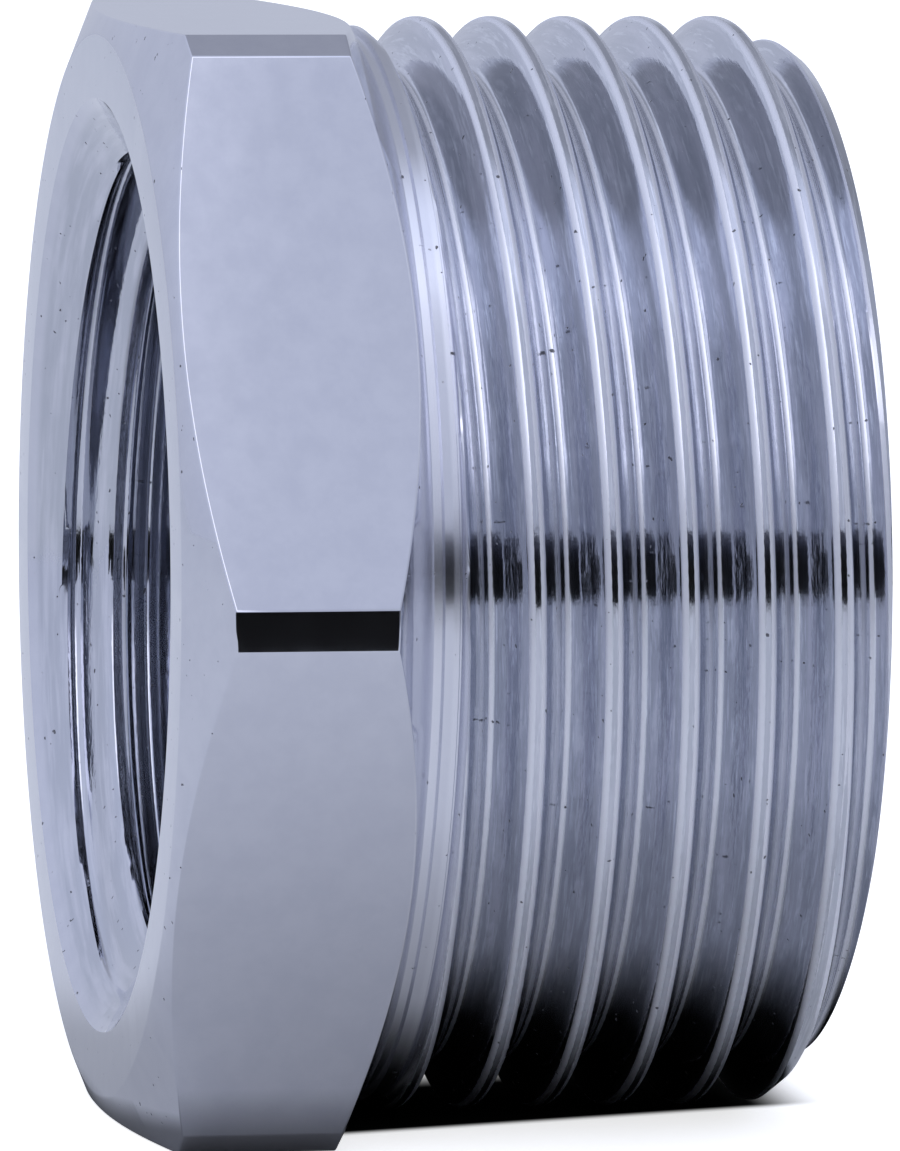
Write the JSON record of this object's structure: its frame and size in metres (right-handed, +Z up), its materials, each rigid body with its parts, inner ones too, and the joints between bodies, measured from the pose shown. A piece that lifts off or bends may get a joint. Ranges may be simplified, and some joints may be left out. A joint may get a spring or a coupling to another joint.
{
  "type": "hex reducing bushing",
  "caption": "Chrome-plated hex reducing bushing for pipe, lying on a hex flat: female parallel thread through the hex head, larger male parallel thread behind it.",
  "frame": {"origin": "middle of the bounding box, on the floor that the lower hex flat rests on", "axes": "+X along the bore from the hex face to the end of the male thread, +Z up, +Y away from the hex corner that faces the viewer"},
  "size_m": [0.0168, 0.03, 0.0265],
  "materials": {
    "plated_brass": "bright chrome plating over turned brass, with fine turning marks left in it"
  },
  "bodies": {
    "root": {"bushing_body": "plated_brass"}
  },
  "joints": []
}
